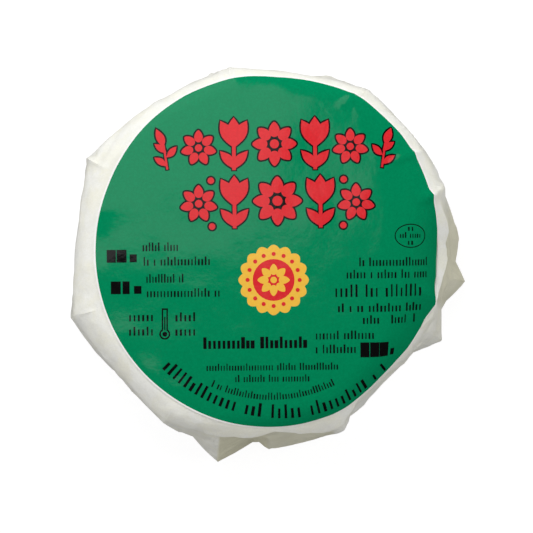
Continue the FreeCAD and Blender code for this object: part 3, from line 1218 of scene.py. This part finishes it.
def bead_ring_tree():
    """A ring of round beads."""
    growth = Growth("bead_ring", {
        "Count": "Int", "Ring Radius": "Float", "Bead Radius": "Float", "Thickness": "Float",
        "Ink": "Material"})
    ring = {"Vertices": growth.input("Count"), "Radius": growth.input("Ring Radius")}
    bead = {"Vertices": 14, "Radius": growth.input("Bead Radius"), "Depth": growth.input("Thickness")}
    beads = growth.value("GeometryNodeInstanceOnPoints", {}, {
        "Points": growth.value("GeometryNodeMeshCircle", {}, ring),
        "Instance": growth.value("GeometryNodeMeshCylinder", {}, bead, "Mesh")})
    return growth.finish(beads)


def grown(tree, values):
    """The plain mesh that a tree makes with those inputs."""
    mesh = bpy.data.meshes.new("seed")
    holder = bpy.data.objects.new("seed", mesh)
    bpy.context.scene.collection.objects.link(holder)
    modifier = holder.modifiers.new("grow", "NODES")
    modifier.node_group = tree
    for item in tree.interface.items_tree:
        if item.in_out == "INPUT":
            modifier[item.identifier] = values[item.name]
    evaluated = holder.evaluated_get(bpy.context.evaluated_depsgraph_get())
    result = bpy.data.meshes.new_from_object(evaluated)
    holder.modifiers.clear()
    bpy.data.objects.remove(holder)
    bpy.data.meshes.remove(mesh)
    return result


def add_part(points, faces, more_points, more_faces):
    """Adds a part's points and faces to those of a piece."""
    base = sum(len(group) for group in points)
    points.append(more_points)
    faces += [tuple(base + index for index in face) for face in more_faces]


def lay_grown(mesh, place, top, points, faces):
    """Lays a flat mesh on the label about a place, and adds it to the points and faces of a piece."""
    flat = np.array([tuple(vertex.co) for vertex in mesh.vertices]) / MM
    x, y, turn = place
    plan = placed(flat[:, :2], x, y, turn) + label_centre()
    laid = top.lay(plan, mm(label_sizes().thickness) + flat[:, 2])
    add_part(points, faces, laid, [tuple(polygon.vertices) for polygon in mesh.polygons])
    bpy.data.meshes.remove(mesh)


# ---------------------------------------------------------------- operators


class CHEESE_OT_wrap(bpy.types.Operator):
    """The paper wrap, folded over the cheese and gathered under it"""

    bl_idname = "cheese.wrap"
    bl_label = "Paper Wrap"

    def execute(self, context):
        counts = panel_counts(PAPER_PITCH)
        wall, dullness_and_shade = wrap_rows(counts)
        base = base_rows(wall[0], counts)
        top = top_rows(outline_at_top(counts))
        low, high = (0.0, 0.0, 0.0), (0.0, 0.0, PACK_HEIGHT)
        points, faces = closed_rows([*base, *wall, *top], low, high)
        mesh = mesh_of("wrap_paper", points, faces)
        shade_by_angle(mesh, PAPER_CRISP)
        # The "loose" attribute holds how far each point is darkened to dull beige, partly painted shade.
        loose = mesh.attributes.new("loose", "FLOAT", "POINT")
        below = 1 + sum(len(row) for row in base)
        for number, value in enumerate(np.concatenate(dullness_and_shade)):
            loose.data[below + number].value = value
        piece = new_object("wrap_paper", mesh, [waxed_paper()])
        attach(piece, "root")
        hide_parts("wrap")
        return {"FINISHED"}


class CHEESE_OT_folds(bpy.types.Operator):
    """The folded edges of the upper layer of paper, over the ears"""

    bl_idname = "cheese.folds"
    bl_label = "Folded Edges"

    def execute(self, context):
        top = Top()
        points, faces = [], []
        for edge in FOLDED_EDGES:
            add_part(points, faces, *folded_edge(top, edge))
        mesh = mesh_of("folded_edges", np.concatenate(points), faces)
        shade_by_angle(mesh, PAPER_CRISP)
        piece = new_object("folded_edges", mesh, [waxed_paper()])
        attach(piece, "root")
        return {"FINISHED"}


class CHEESE_OT_label(bpy.types.Operator):
    """The round label with its fields of colour, laid over the top and the shoulder"""

    bl_idname = "cheese.label"
    bl_label = "Label"

    def execute(self, context):
        flat, triangles, layers = divided_disc(label_shapes())
        top, thickness = Top(), mm(label_sizes().thickness)
        count = len(flat)
        points = np.concatenate([top.lay(flat, thickness), top.lay(flat, 0.0)])
        faces = list(triangles)
        faces += [(a + count, c + count, b + count) for a, b, c in triangles]
        faces += [(b, a, a + count, b + count) for a, b in open_edges(triangles)]
        mesh = mesh_of("label_sheet", points, faces)
        inks = label_inks()
        piece = new_object("label_sheet", mesh, list(inks.values()))
        names = list(inks)
        for polygon in mesh.polygons:
            on_top = polygon.index < len(triangles)
            polygon.material_index = names.index(layers[polygon.index] if on_top else "margin")
        shade_by_angle(mesh, LABEL_CRISP)
        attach(piece, "root")
        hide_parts("label")
        return {"FINISHED"}


class CHEESE_OT_small_print(bpy.types.Operator):
    """The rows of small upright marks that stand for the label's small print"""

    bl_idname = "cheese.small_print"
    bl_label = "Small Print"

    def execute(self, context):
        tree = print_row_tree()
        top = Top()
        dark = ink("print_dark", colours().dark, 0.3)
        points, faces = [], []
        for number, row in enumerate(PRINT_ROWS):
            values = {"Marks": row.marks, "Row Length": row.length * MM, "Height": row.height * MM,
                      "Weight": row.weight * PRINT_WEIGHT, "Thickness": label_sizes().ink * INK_LAYERS,
                      "Spaces": PRINT_SPACES * (row.marks > FEW_MARKS),
                      "Bend Radius": (row.bend or STRAIGHT) * MM, "Seed": number + 3, "Ink": dark}
            lay_grown(grown(tree, values), (row.x, row.y, ROW_TILT + row.turn), top, points, faces)
        piece = new_object("small_print", mesh_of("small_print", np.concatenate(points), faces), [dark])
        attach(piece, "root")
        return {"FINISHED"}


class CHEESE_OT_seal_beads(bpy.types.Operator):
    """The ring of printed beads on the seal"""

    bl_idname = "cheese.seal_beads"
    bl_label = "Seal Beads"

    def execute(self, context):
        red = ink("print_red", colours().red, 0.3)
        points, faces = [], []
        values = {"Count": SEAL_LOBES, "Ring Radius": BEAD_RING * MM, "Bead Radius": BEAD_RADIUS * MM,
                  "Thickness": label_sizes().ink * INK_LAYERS, "Ink": red}
        lay_grown(grown(bead_ring_tree(), values), (*SEAL, 0.0), Top(), points, faces)
        piece = new_object("seal_beads", mesh_of("seal_beads", np.concatenate(points), faces), [red])
        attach(piece, "root")
        return {"FINISHED"}


# The stage, in metres: half the floor's side, the sky's strength, the camera's place and its lens in
# millimetres, and the soft lights. Each light is a square panel at a place, shining in a direction,
# with its side, its watts and whether the label mirrors it.
FLOOR = 3.0
SKY_STRENGTH = 0.2
CAMERA_PLACE = (0.0016, -0.0040, 0.8)
CAMERA_LENS = 209.7
Softbox = namedtuple("Softbox", "name place aim side watts mirrored")
SOFTBOXES = [
    Softbox("ceiling", (-1.164, 1.202, 1.2), (0.0, 0.0, -1.0), 2.4, 12.0, True),
    Softbox("key", (-0.07, 0.19, 0.23), (0.07, -0.18, -0.21), 0.2, 0.60, False),
    Softbox("right fill", (0.9, 0.1, 0.4), (-0.9, -0.1, -0.37), 0.7, 4.8, False),
    Softbox("front fill", (-0.45, -0.8, 0.4), (0.45, 0.8, -0.37), 0.7, 3.2, False),
]


def hang(softbox):
    """Hangs a soft light in the scene."""
    light = bpy.data.lights.new(softbox.name, "AREA")
    light.shape = "SQUARE"
    light.size = softbox.side
    light.energy = softbox.watts
    holder = bpy.data.objects.new(softbox.name, light)
    holder.location = softbox.place
    holder.rotation_euler = Vector(softbox.aim).to_track_quat("-Z", "Y").to_euler()
    holder.visible_camera = False
    holder.visible_glossy = softbox.mirrored
    bpy.context.scene.collection.objects.link(holder)


class CHEESE_OT_stage(bpy.types.Operator):
    """A plain white floor, soft light and a camera straight above"""

    bl_idname = "cheese.stage"
    bl_label = "Stage"

    def execute(self, context):
        mesh = bpy.data.meshes.new("floor")
        mesh.from_pydata([(x * FLOOR, y * FLOOR, 0) for x, y in bar(2, 2)], [], [(0, 1, 2, 3)])
        floor = new_object("floor", mesh, [white_floor()])
        floor.visible_glossy = False
        world = bpy.data.worlds.new("studio")
        context.scene.world = world
        world.use_nodes = True
        sky = world.node_tree.nodes["Background"]
        sky.inputs["Color"].default_value = (1, 1, 1, 1)
        sky.inputs["Strength"].default_value = SKY_STRENGTH
        world.cycles_visibility.glossy = False
        for light in SOFTBOXES:
            hang(light)
        camera = bpy.data.cameras.new("camera")
        camera.lens = CAMERA_LENS
        camera.sensor_width = 36.0
        holder = bpy.data.objects.new("camera", camera)
        holder.location = CAMERA_PLACE
        context.scene.collection.objects.link(holder)
        context.scene.camera = holder
        context.scene.view_settings.view_transform = "Standard"
        return {"FINISHED"}


class CHEESE_PT_panel(bpy.types.Panel):
    """The pack's sizes, its colours and the buttons that build it"""

    bl_label = "Cheese"
    bl_idname = "CHEESE_PT_panel"
    bl_space_type = "VIEW_3D"
    bl_region_type = "UI"
    bl_category = "Cheese"

    def draw(self, context):
        for operator in OPERATORS:
            self.layout.operator(operator.bl_idname)
        for group in ("cheese_pack", "cheese_label", "cheese_colours"):
            values = getattr(context.scene, group)
            for key in values.bl_rna.properties.keys():
                if key not in ("rna_type", "name"):
                    self.layout.prop(values, key)


GROUPS = {"cheese_pack": CheesePackSizes, "cheese_label": CheeseLabelSizes, "cheese_colours": CheeseColours}
OPERATORS = (CHEESE_OT_wrap, CHEESE_OT_folds, CHEESE_OT_label, CHEESE_OT_small_print, CHEESE_OT_seal_beads,
             CHEESE_OT_stage)


def register():
    """Registers the property groups, the operators and the panel."""
    for name, group in GROUPS.items():
        bpy.utils.register_class(group)
        setattr(bpy.types.Scene, name, PointerProperty(type=group))
    for operator in OPERATORS:
        bpy.utils.register_class(operator)
    bpy.utils.register_class(CHEESE_PT_panel)


def unregister():
    """Takes the panel, the operators and the property groups away again."""
    bpy.utils.unregister_class(CHEESE_PT_panel)
    for operator in reversed(OPERATORS):
        bpy.utils.unregister_class(operator)
    for name, group in GROUPS.items():
        delattr(bpy.types.Scene, name)
        bpy.utils.unregister_class(group)


def main():
    """Builds the pack and its stage."""
    register()
    bpy.ops.cheese.wrap()
    bpy.ops.cheese.folds()
    bpy.ops.cheese.label()
    bpy.ops.cheese.small_print()
    bpy.ops.cheese.seal_beads()
    bpy.ops.cheese.stage()


if __name__ == "__main__":
    main()
